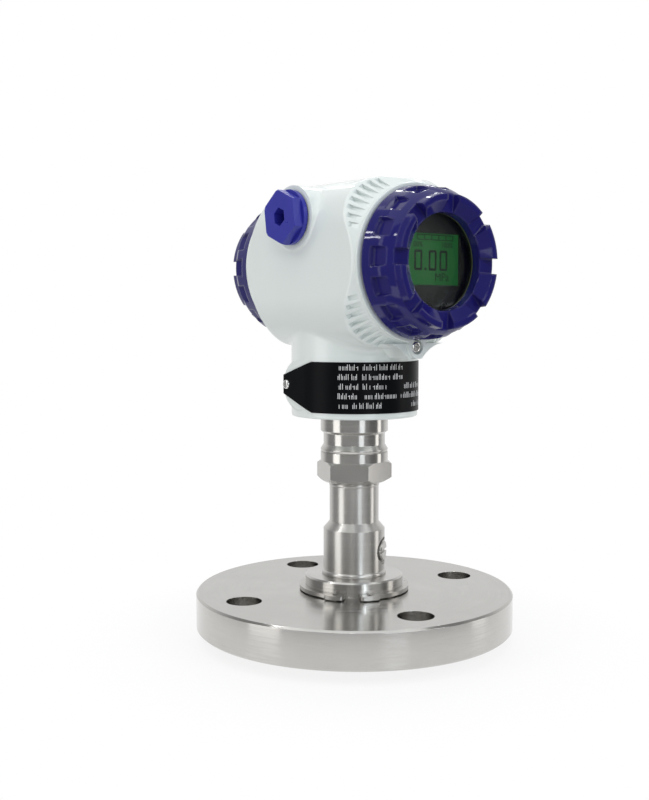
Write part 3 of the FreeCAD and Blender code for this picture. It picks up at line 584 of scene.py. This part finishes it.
def facing_front(x, z, y):
    """Turns what lies flat on the floor to face the front, with its middle at x and z and its back at y."""
    return Matrix.Translation((x, y, z)) @ Matrix.Rotation(QUARTER_TURN, 4, "X")


def upended():
    """Turns a flat bar from lying along X to standing along Y."""
    return Matrix.Rotation(QUARTER_TURN, 4, "Z")


def flat_bar(name, length, width, corner, thickness):
    """A flat bar with cut corners, lying along X with its back on the floor."""
    alone()
    bpy.ops.mesh.primitive_plane_add(size=1.0)
    bar = bpy.context.object
    bar.name = name
    bar.scale = (length, width, 1.0)
    settle(bar)
    bpy.ops.object.mode_set(mode="EDIT")
    bpy.ops.mesh.select_all(action="SELECT")
    bpy.ops.mesh.bevel(affect="VERTICES", offset=corner, segments=1)
    bpy.ops.mesh.select_all(action="SELECT")
    bpy.ops.mesh.extrude_region_move(TRANSFORM_OT_translate={"value": (0.0, 0.0, thickness)})
    bpy.ops.mesh.select_all(action="SELECT")
    bpy.ops.mesh.normals_make_consistent(inside=False)
    bpy.ops.object.mode_set(mode="OBJECT")
    return bar


def lettering(name, text, height, thickness, weight=0.0):
    """Print lying flat on the floor, centred, as a mesh; weight makes it bolder."""
    capital_share = 0.69
    alone()
    bpy.ops.object.text_add()
    flat = bpy.context.object
    flat.name = name
    flat.data.body = text
    flat.data.size = height / capital_share
    flat.data.extrude = thickness / 2
    flat.data.offset = weight
    flat.data.resolution_u = 4
    flat.data.align_x = "CENTER"
    flat.data.align_y = "CENTER"
    bpy.ops.object.convert(target="MESH")
    solid = bpy.context.object
    solid.location.z = thickness / 2
    return settle(solid)


class TRANSMITTER_OT_castings(bpy.types.Operator):
    """Enamel the housing and the two covers"""
    bl_idname = "transmitter.castings"
    bl_label = "Enamel castings"

    def execute(self, context):
        paint = context.scene.transmitter_paint
        dress(housing_enamel(paint), "housing")
        dress(cover_enamel(paint), "front_cover", "rear_cover")
        return {"FINISHED"}


class TRANSMITTER_OT_steelwork(bpy.types.Operator):
    """Finish the stem, hub, adapter, flange and retaining ring"""
    bl_idname = "transmitter.steelwork"
    bl_label = "Finish steelwork"

    def execute(self, context):
        steel = context.scene.transmitter_steel
        brushed = turned_steel("stem_steel", steel.bright, steel.brushed, steel, weld=True)
        turned = turned_steel("hub_steel", steel.bright, steel.roughness, steel)
        milled = turned_steel("hexagon_steel", steel.bright, steel.roughness, steel, brushing=0.0)
        slotted = stamped_steel("fill_plug_steel", steel.bright, roughness=0.3, edge=steel.edge)
        faced = turned_steel("flange_steel", steel.flange, steel.faced, steel, smudge=0.7)
        foil = turned_steel("diaphragm_foil", steel.bright, 0.16, steel, smudge=0.2)
        stamped = stamped_steel("ring_steel", steel.spring, roughness=0.3, edge=0.2 * MM)
        dress(brushed, "stem")
        dress(turned, "seal_body", "sensor_module")
        dress(milled, "hex_adapter")
        dress(slotted, "fill_plug")
        dress(faced, "flange")
        dress(foil, "seal_diaphragm")
        dress(stamped, "retaining_ring")
        return {"FINISHED"}


class TRANSMITTER_OT_fittings(bpy.types.Operator):
    """Finish the plugs, the screws and the seals"""
    bl_idname = "transmitter.fittings"
    bl_label = "Finish plugs and screws"

    def execute(self, context):
        plastic = plug_plastic(context.scene.transmitter_paint)
        chrome = stamped_steel("screw_chrome", CHROME, roughness=0.16, edge=0.15 * MM)
        rubber = moulding("seal_rubber", BLACK_RUBBER, roughness=0.6)
        dress(plastic, "entry_plug_left", "entry_plug_right")
        dress(chrome, "front_lock_screw", "rear_lock_screw", "nameplate_screws", "board_screws")
        dress(rubber, "front_cover_seal", "rear_cover_seal", "plug_seal_left", "plug_seal_right",
              "module_seal")
        return {"FINISHED"}


class TRANSMITTER_OT_window(bpy.types.Operator):
    """Glaze the front cover"""
    bl_idname = "transmitter.window"
    bl_label = "Glaze window"

    def execute(self, context):
        dress(window_glass(), "front_glass")
        dress(moulding("gasket_fibre", GASKET_FIBRE, roughness=0.7), "glass_gasket")
        dress(moulding("retainer_black", BLACK_RUBBER, roughness=0.5), "glass_retainer")
        return {"FINISHED"}


class TRANSMITTER_OT_display(bpy.types.Operator):
    """Finish the bezel, the lit panel and the keys"""
    bl_idname = "transmitter.display"
    bl_label = "Finish display"

    def execute(self, context):
        display = context.scene.transmitter_display
        dress(moulding("bezel_plastic", display.bezel, roughness=0.45), "display_bezel")
        dress(lit_panel(display), "lcd_panel")
        key_plastic = moulding("key_plastic", shade(display.bezel, 0.7), roughness=0.38)
        dress(key_plastic, "key_mode", "key_span", "key_zero")
        return {"FINISHED"}


class TRANSMITTER_OT_reading(bpy.types.Operator):
    """Lay the digits and the unit on the lit panel"""
    bl_idname = "transmitter.reading"
    bl_label = "Lay reading"

    segments = {
        "0": "abcdef", "1": "bc", "2": "abged", "3": "abgcd", "4": "fgbc", "5": "afgcd", "6": "afgedc",
        "7": "abc", "8": "abcdefg", "9": "abcdfg", "-": "g",
    }
    digit_middles = (-5.2 * MM, 4.2 * MM, 11.4 * MM, 18.6 * MM)
    digit_lift = 1.2 * MM
    segment_gap = 0.12 * MM
    segment_point = 0.48
    stop_width = 1.4 * MM
    stop_corner = 0.3 * MM
    stop_middle = -0.5 * MM
    stop_drop = 4.2 * MM
    unit_height = 3.9 * MM
    unit_weight = -0.01 * MM
    unit_middle = 10.4 * MM
    unit_drop = 6.9 * MM

    def execute(self, context):
        display = context.scene.transmitter_display
        face = lcd_low.y
        thick = display.print_thickness
        width = display.stroke
        point = self.segment_point * width
        across_length = display.digit_width - self.segment_gap
        upright_length = display.digit_height / 2 - self.segment_gap
        across = flat_bar("segment_across", across_length, width, point, thick)
        upright = flat_bar("segment_upright", upright_length, width, point, thick)
        stop = flat_bar("segment_stop", self.stop_width, self.stop_width, self.stop_corner, thick)
        middle = head_z + self.digit_lift
        middles = iter(self.digit_middles)
        bars = []
        for sign in display.reading:
            if sign == ".":
                bars.append(copied(stop, facing_front(self.stop_middle, middle - self.stop_drop, face)))
            else:
                bars.extend(self.digit(display, sign, next(middles), middle, across, upright))
        discarded((across, upright, stop))
        ink = printed("segment_ink", display.ink, roughness=0.5)
        carried(joined("lcd_reading", bars), ink)
        unit = lettering("lcd_unit", display.unit, self.unit_height, thick, self.unit_weight)
        unit.data.transform(facing_front(self.unit_middle, head_z - self.unit_drop, face))
        carried(unit, ink)
        return {"FINISHED"}

    def digit(self, display, sign, x, z, across, upright):
        """The bars of one digit."""
        side = display.digit_width / 2 - display.stroke / 2
        rise = display.digit_height / 2 - display.stroke / 2
        half = rise / 2
        spots = {
            "a": (across, 0, rise), "g": (across, 0, 0), "d": (across, 0, -rise),
            "f": (upright, -side, half), "b": (upright, side, half),
            "e": (upright, -side, -half), "c": (upright, side, -half),
        }
        made = []
        for segment in self.segments[sign]:
            pattern, shift, lift = spots[segment]
            turn = upended() if pattern is upright else Matrix()
            made.append(copied(pattern, facing_front(x + shift, z + lift, lcd_low.y) @ turn))
        return made


class TRANSMITTER_OT_scale(bpy.types.Operator):
    """Lay the percent scale above the digits"""
    bl_idname = "transmitter.scale"
    bl_label = "Lay percent scale"

    low_rail = 11.0 * MM
    high_rail = 13.3 * MM
    right_end = 17.6 * MM
    rail_width = 0.42 * MM
    post_width = 0.5 * MM
    corner = 0.05 * MM
    label_height = 2.5 * MM
    label_weight = 0.015 * MM
    label_lift = 8.6 * MM
    empty_inset = 0.6 * MM
    full_inset = 4.0 * MM

    def execute(self, context):
        display = context.scene.transmitter_display
        face = lcd_low.y
        thick = display.print_thickness
        low = head_z + self.low_rail
        high = head_z + self.high_rail
        length = display.scale_cells * display.scale_cell
        left = self.right_end - length
        rail = flat_bar("scale_rail", length, self.rail_width, self.corner, thick)
        post = flat_bar("scale_post", high - low, self.post_width, self.corner, thick)
        bars = []
        for level in (low, high):
            bars.append(copied(rail, facing_front((left + self.right_end) / 2, level, face)))
        for step in range(display.scale_cells + 1):
            x = left + step * display.scale_cell
            bars.append(copied(post, facing_front(x, (low + high) / 2, face) @ upended()))
        discarded((rail, post))
        ink = bpy.data.materials["segment_ink"]
        carried(joined("lcd_scale", bars), ink)
        labels = (
            ("lcd_empty", "00%", left + self.empty_inset),
            ("lcd_full", "100%", self.right_end - self.full_inset),
        )
        for name, text, x in labels:
            label = lettering(name, text, self.label_height, thick, self.label_weight)
            label.data.transform(facing_front(x, head_z + self.label_lift, face))
            carried(label, ink)
        return {"FINISHED"}


class TRANSMITTER_OT_key_marks(bpy.types.Operator):
    """Print a letter above each key of the bezel"""
    bl_idname = "transmitter.key_marks"
    bl_label = "Print key marks"

    marks = (("mark_mode", "M", "key_mode"), ("mark_span", "S", "key_span"), ("mark_zero", "Z", "key_zero"))
    mark_height = 3.0 * MM
    mark_lift = 2.6 * MM

    def execute(self, context):
        display = context.scene.transmitter_display
        ink = printed("key_ink", KEY_INK, roughness=0.6)
        for name, text, key in self.marks:
            low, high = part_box(key)
            mark = lettering(name, text, self.mark_height, display.print_thickness)
            middle = (low.x + high.x) / 2
            mark.data.transform(facing_front(middle, high.z + self.mark_lift, bezel_face))
            carried(mark, ink)
        return {"FINISHED"}


class TRANSMITTER_OT_plate(bpy.types.Operator):
    """Finish the data plate and print its rows of strokes"""
    bl_idname = "transmitter.plate"
    bl_label = "Print data plate"

    # Each group of a row: where it starts, in degrees round the neck, and how many signs each run has.
    rows = (
        ((-52.9, (6,)), (-32.5, (8, 5))),
        ((-53.9, (6,)), (-33.0, (9,)), (-4.2, (4,))),
        ((-52.9, (6,)), (-32.5, (8,)), (8.9, (6, 5))),
        ((-53.9, (6,)), (-30.7, (11,)), (4.6, (8, 5))),
        ((-52.9, (3,)), (-41.2, (9,)), (20.5, (4, 6))),
    )
    signs = (
        ("tall_left", "short_right"),
        ("short_left", "tall_right"),
        ("short_left", "short_right"),
        ("tall_left",),
        ("tall_left", "tall_right"),
        ("short_left", "short_right"),
        ("short_left", "tall_right", "tie"),
        ("short_left",),
        ("short_right", "tie"),
    )
    seed = 7
    run_gap = 0.6
    short_share = 0.68
    corner_share = 0.2

    def execute(self, context):
        plate = context.scene.transmitter_plate
        dress(plate_face(plate), "nameplate")
        parts = self.parts(plate)
        radius = plate_high.x
        pick = random.Random(self.seed)
        step = plate.sign_pitch / radius
        middle = (plate_low.z + plate_high.z - plate.sign_height) / 2 + plate.row_lift
        strokes = []
        for row, groups_of_runs in enumerate(self.rows):
            base = middle + (len(self.rows) // 2 - row) * plate.row_pitch
            for start, runs in groups_of_runs:
                turn = math.radians(start)
                for run in runs:
                    for _ in range(run):
                        for part in pick.choice(self.signs):
                            bar, shift, lift = parts[part]
                            place = self.on_plate(radius, turn + shift / radius, base + lift)
                            strokes.append(copied(bar, place))
                        turn += step
                    turn += self.run_gap * step
        discarded({bar for bar, *_ in parts.values()})
        ink = printed("plate_ink", plate.ink, roughness=0.5)
        carried(joined("plate_print", strokes), ink)
        return {"FINISHED"}

    def parts(self, plate):
        """Bars that signs are made of: tall and short uprights left and right, and a tie between them."""
        width = plate.stroke
        tall = plate.sign_height
        short = self.short_share * tall
        side = plate.sign_width - width
        corner = self.corner_share * width
        thick = plate.print_thickness
        tall_bar = flat_bar("stroke_tall", width, tall, corner, thick)
        short_bar = flat_bar("stroke_short", width, short, corner, thick)
        tie = flat_bar("stroke_tie", plate.sign_width, width, corner, thick)
        return {
            "tall_left": (tall_bar, 0.0, tall / 2),
            "tall_right": (tall_bar, side, tall / 2),
            "short_left": (short_bar, 0.0, short / 2),
            "short_right": (short_bar, side, short / 2),
            "tie": (tie, side / 2, tall / 2),
        }

    def on_plate(self, radius, turn, z):
        """Stands a flat stroke on the round of the plate, turned from the front."""
        return Matrix.Rotation(turn, 4, "Z") @ facing_front(0.0, z, -radius)


class TRANSMITTER_OT_inside(bpy.types.Operator):
    """Finish the boards, posts and terminals inside the housing"""
    bl_idname = "transmitter.inside"
    bl_label = "Finish inside"

    def execute(self, context):
        brass = stamped_steel("post_brass", BRASS, roughness=0.3, edge=0.15 * MM)
        black = moulding("terminal_plastic", BLACK_PLASTIC, roughness=0.5)
        dress(circuit_board(), "display_board", "main_board")
        dress(brass, "display_posts", "board_posts", "terminal_screws", "ground_screw")
        dress(black, "terminal_block", "feedthrough", "key_switches", "sensor_header")
        dress(moulding("light_guide", MILKY_PLASTIC, roughness=0.4), "lcd_backlight")
        return {"FINISHED"}


class TRANSMITTER_OT_studio(bpy.types.Operator):
    """Set up the camera, the floor, the lamps and the sky"""
    bl_idname = "transmitter.studio"
    bl_label = "Set up studio"

    # Name, turn from the camera in degrees, height, distance, width and height of the lamp, radiance, colour.
    softboxes = (
        ("lamp_left", -63.0, 0.45, 1.25, (0.62, 2.0), 1.55, (1.0, 0.99, 0.97)),
        ("lamp_front", 27.0, 0.2, 1.25, (0.40, 0.6), 1.8, (0.91, 0.96, 1.0)),
        ("lamp_fill", 55.0, 0.8, 1.15, (0.7, 0.35), 4.0, (0.97, 0.99, 1.0)),
        ("lamp_right", 95.0, 0.2, 1.25, (0.34, 1.3), 1.5, (1.0, 0.98, 0.95)),
        ("lamp_top", 0.0, 1.6, 0.15, (2.0, 2.0), 0.85, (0.97, 0.99, 1.0)),
        ("lamp_table", -15.0, -0.5, 0.9, (1.0, 0.3), 1.4, WHITE),
        ("glint_face", 26.0, 0.51, 1.1, (0.05, 0.34), 14.0, (0.80, 0.91, 1.0)),
        ("glint_front", -8.0, 0.85, 1.0, (0.30, 0.045), 25.0, WHITE),
        ("glint_left_high", -79.4, 0.3394, 0.2074, (0.045, 0.0065), 22.0, WHITE),
        ("glint_left_low", -76.6, 0.3171, 0.2221, (0.045, 0.0065), 22.0, WHITE),
        ("glint_back", 178.0, 1.04, 1.0, (0.9, 0.035), 16.0, WHITE),
    )
    aim = (0.0, 0.0, 0.13)
    clip_start = 0.01
    floor_drop = 0.3 * MM
    floor_corners = 128
    fade_from = 0.55
    fade_to = 0.98

    def execute(self, context):
        studio = context.scene.transmitter_studio
        self.set_camera(context, studio)
        self.lay_floor(studio)
        self.paint_sky(context, studio)
        for softbox in self.softboxes:
            self.hang(context, studio, *softbox)
        context.scene.view_settings.view_transform = "Standard"
        return {"FINISHED"}

    def set_camera(self, context, studio):
        """The camera, to the left of the front and a little below the head."""
        camera = bpy.data.cameras.new("camera")
        camera.lens = studio.lens
        camera.clip_start = self.clip_start
        eye = bpy.data.objects.new("camera", camera)
        eye.location = studio.eye
        eye.rotation_euler = studio.turn
        context.collection.objects.link(eye)
        context.scene.camera = eye

    def lay_floor(self, studio):
        """A small round of pale floor that takes the shadow and fades into the white."""
        radius = studio.floor_radius
        alone()
        bpy.ops.mesh.primitive_circle_add(
            vertices=self.floor_corners, radius=radius, fill_type="NGON",
            location=(0.0, 0.0, -self.floor_drop))
        floor = bpy.context.object
        floor.name = "studio_floor"
        look = begin("studio_floor")
        x, y, _ = look.axes(look.place())
        outward = (x * x + y * y).math("SQRT")
        fade = 1.0 - look.ease(outward, self.fade_from * radius, self.fade_to * radius)
        seen, mirrored, through = look.node(
            "LightPath", out=("Is Camera Ray", "Is Glossy Ray", "Is Transmission Ray"))
        white = (seen + mirrored + through).math("MINIMUM", 1.0)
        lit = look.node("BsdfDiffuse", sockets={"Color": studio.floor})
        glow = look.node("Emission", sockets={"Color": WHITE, "Strength": 1.0})
        surface = look.node("MixShader", sockets={0: white * (1.0 - studio.shadow * fade), 1: lit, 2: glow})
        look.node("OutputMaterial", sockets={"Surface": surface})
        floor.data.materials.append(look.owner)

    def paint_sky(self, context, studio):
        """White where the camera looks; otherwise a pale wall behind, a dark cloth aside and a dim room."""
        world = bpy.data.worlds.new("studio_sky")
        context.scene.world = world
        look = Finish(world)
        toward = look.node("TexCoord", out="Generated")
        behind = Vector(studio.eye)
        behind.z = 0.0
        behind = -behind.normalized()
        aside = Matrix.Rotation(studio.flag_turn, 3, "Z") @ -behind
        wall = look.ease(self.nearness(look, toward, behind), low=0.25, high=0.75)
        cloth = look.ease(self.nearness(look, toward, aside), low=0.90, high=0.97)
        room = studio.room + (studio.backdrop - studio.room) * wall
        room = room - (studio.room - studio.flag) * cloth
        seen = look.node("LightPath", out="Is Camera Ray")
        sky = look.node("Background", sockets={"Color": WHITE, "Strength": room + (1.0 - room) * seen})
        look.node("OutputWorld", sockets={"Surface": sky})

    def nearness(self, look, toward, way):
        """How nearly one direction points the other way given, up to one."""
        return look.node("VectorMath", {"operation": "DOT_PRODUCT"}, {0: toward, 1: tuple(way)}, out="Value")

    def hang(self, context, studio, name, turn, height, distance, size, radiance, colour):
        """A lamp turned from the camera's side of the object by the angle given."""
        lamp = bpy.data.lights.new(name, "AREA")
        lamp.shape = "RECTANGLE"
        lamp.size, lamp.size_y = size
        lamp.energy = radiance * studio.lamps * math.pi * size[0] * size[1]
        lamp.color = colour
        holder = bpy.data.objects.new(name, lamp)
        way = math.atan2(studio.eye[1], studio.eye[0]) + math.radians(turn)
        holder.location = (distance * math.cos(way), distance * math.sin(way), height)
        holder.rotation_euler = (Vector(self.aim) - holder.location).to_track_quat("-Z", "Y").to_euler()
        holder.visible_camera = False
        context.collection.objects.link(holder)


class TRANSMITTER_PT_panel(bpy.types.Panel):
    """Steps and settings of the transmitter"""
    bl_idname = "TRANSMITTER_PT_panel"
    bl_label = "Pressure transmitter"
    bl_space_type = "VIEW_3D"
    bl_region_type = "UI"
    bl_category = "Transmitter"

    def draw(self, context):
        layout = self.layout
        for step in steps:
            layout.operator(step.bl_idname)
        for group, settings_name in groups.items():
            settings = getattr(context.scene, settings_name)
            box = layout.box()
            for name in group.__annotations__:
                box.prop(settings, name)


groups = {
    TransmitterPaint: "transmitter_paint",
    TransmitterSteel: "transmitter_steel",
    TransmitterDisplay: "transmitter_display",
    TransmitterPlate: "transmitter_plate",
    TransmitterStudio: "transmitter_studio",
}
steps = (
    TRANSMITTER_OT_castings,
    TRANSMITTER_OT_steelwork,
    TRANSMITTER_OT_fittings,
    TRANSMITTER_OT_window,
    TRANSMITTER_OT_display,
    TRANSMITTER_OT_reading,
    TRANSMITTER_OT_scale,
    TRANSMITTER_OT_key_marks,
    TRANSMITTER_OT_plate,
    TRANSMITTER_OT_inside,
    TRANSMITTER_OT_studio,
)


def register():
    """Add the settings, the steps and the panel."""
    for group, name in groups.items():
        bpy.utils.register_class(group)
        setattr(bpy.types.Scene, name, PointerProperty(type=group))
    for step in steps:
        bpy.utils.register_class(step)
    bpy.utils.register_class(TRANSMITTER_PT_panel)


def unregister():
    """Take the panel, the steps and the settings away again."""
    bpy.utils.unregister_class(TRANSMITTER_PT_panel)
    for step in reversed(steps):
        bpy.utils.unregister_class(step)
    for group, name in reversed(groups.items()):
        delattr(bpy.types.Scene, name)
        bpy.utils.unregister_class(group)


def main():
    """Dress the transmitter and set up the studio."""
    register()
    bpy.ops.transmitter.castings()
    bpy.ops.transmitter.steelwork()
    bpy.ops.transmitter.fittings()
    bpy.ops.transmitter.window()
    bpy.ops.transmitter.display()
    bpy.ops.transmitter.reading()
    bpy.ops.transmitter.scale()
    bpy.ops.transmitter.key_marks()
    bpy.ops.transmitter.plate()
    bpy.ops.transmitter.inside()
    bpy.ops.transmitter.studio()


if __name__ == "__main__":
    main()
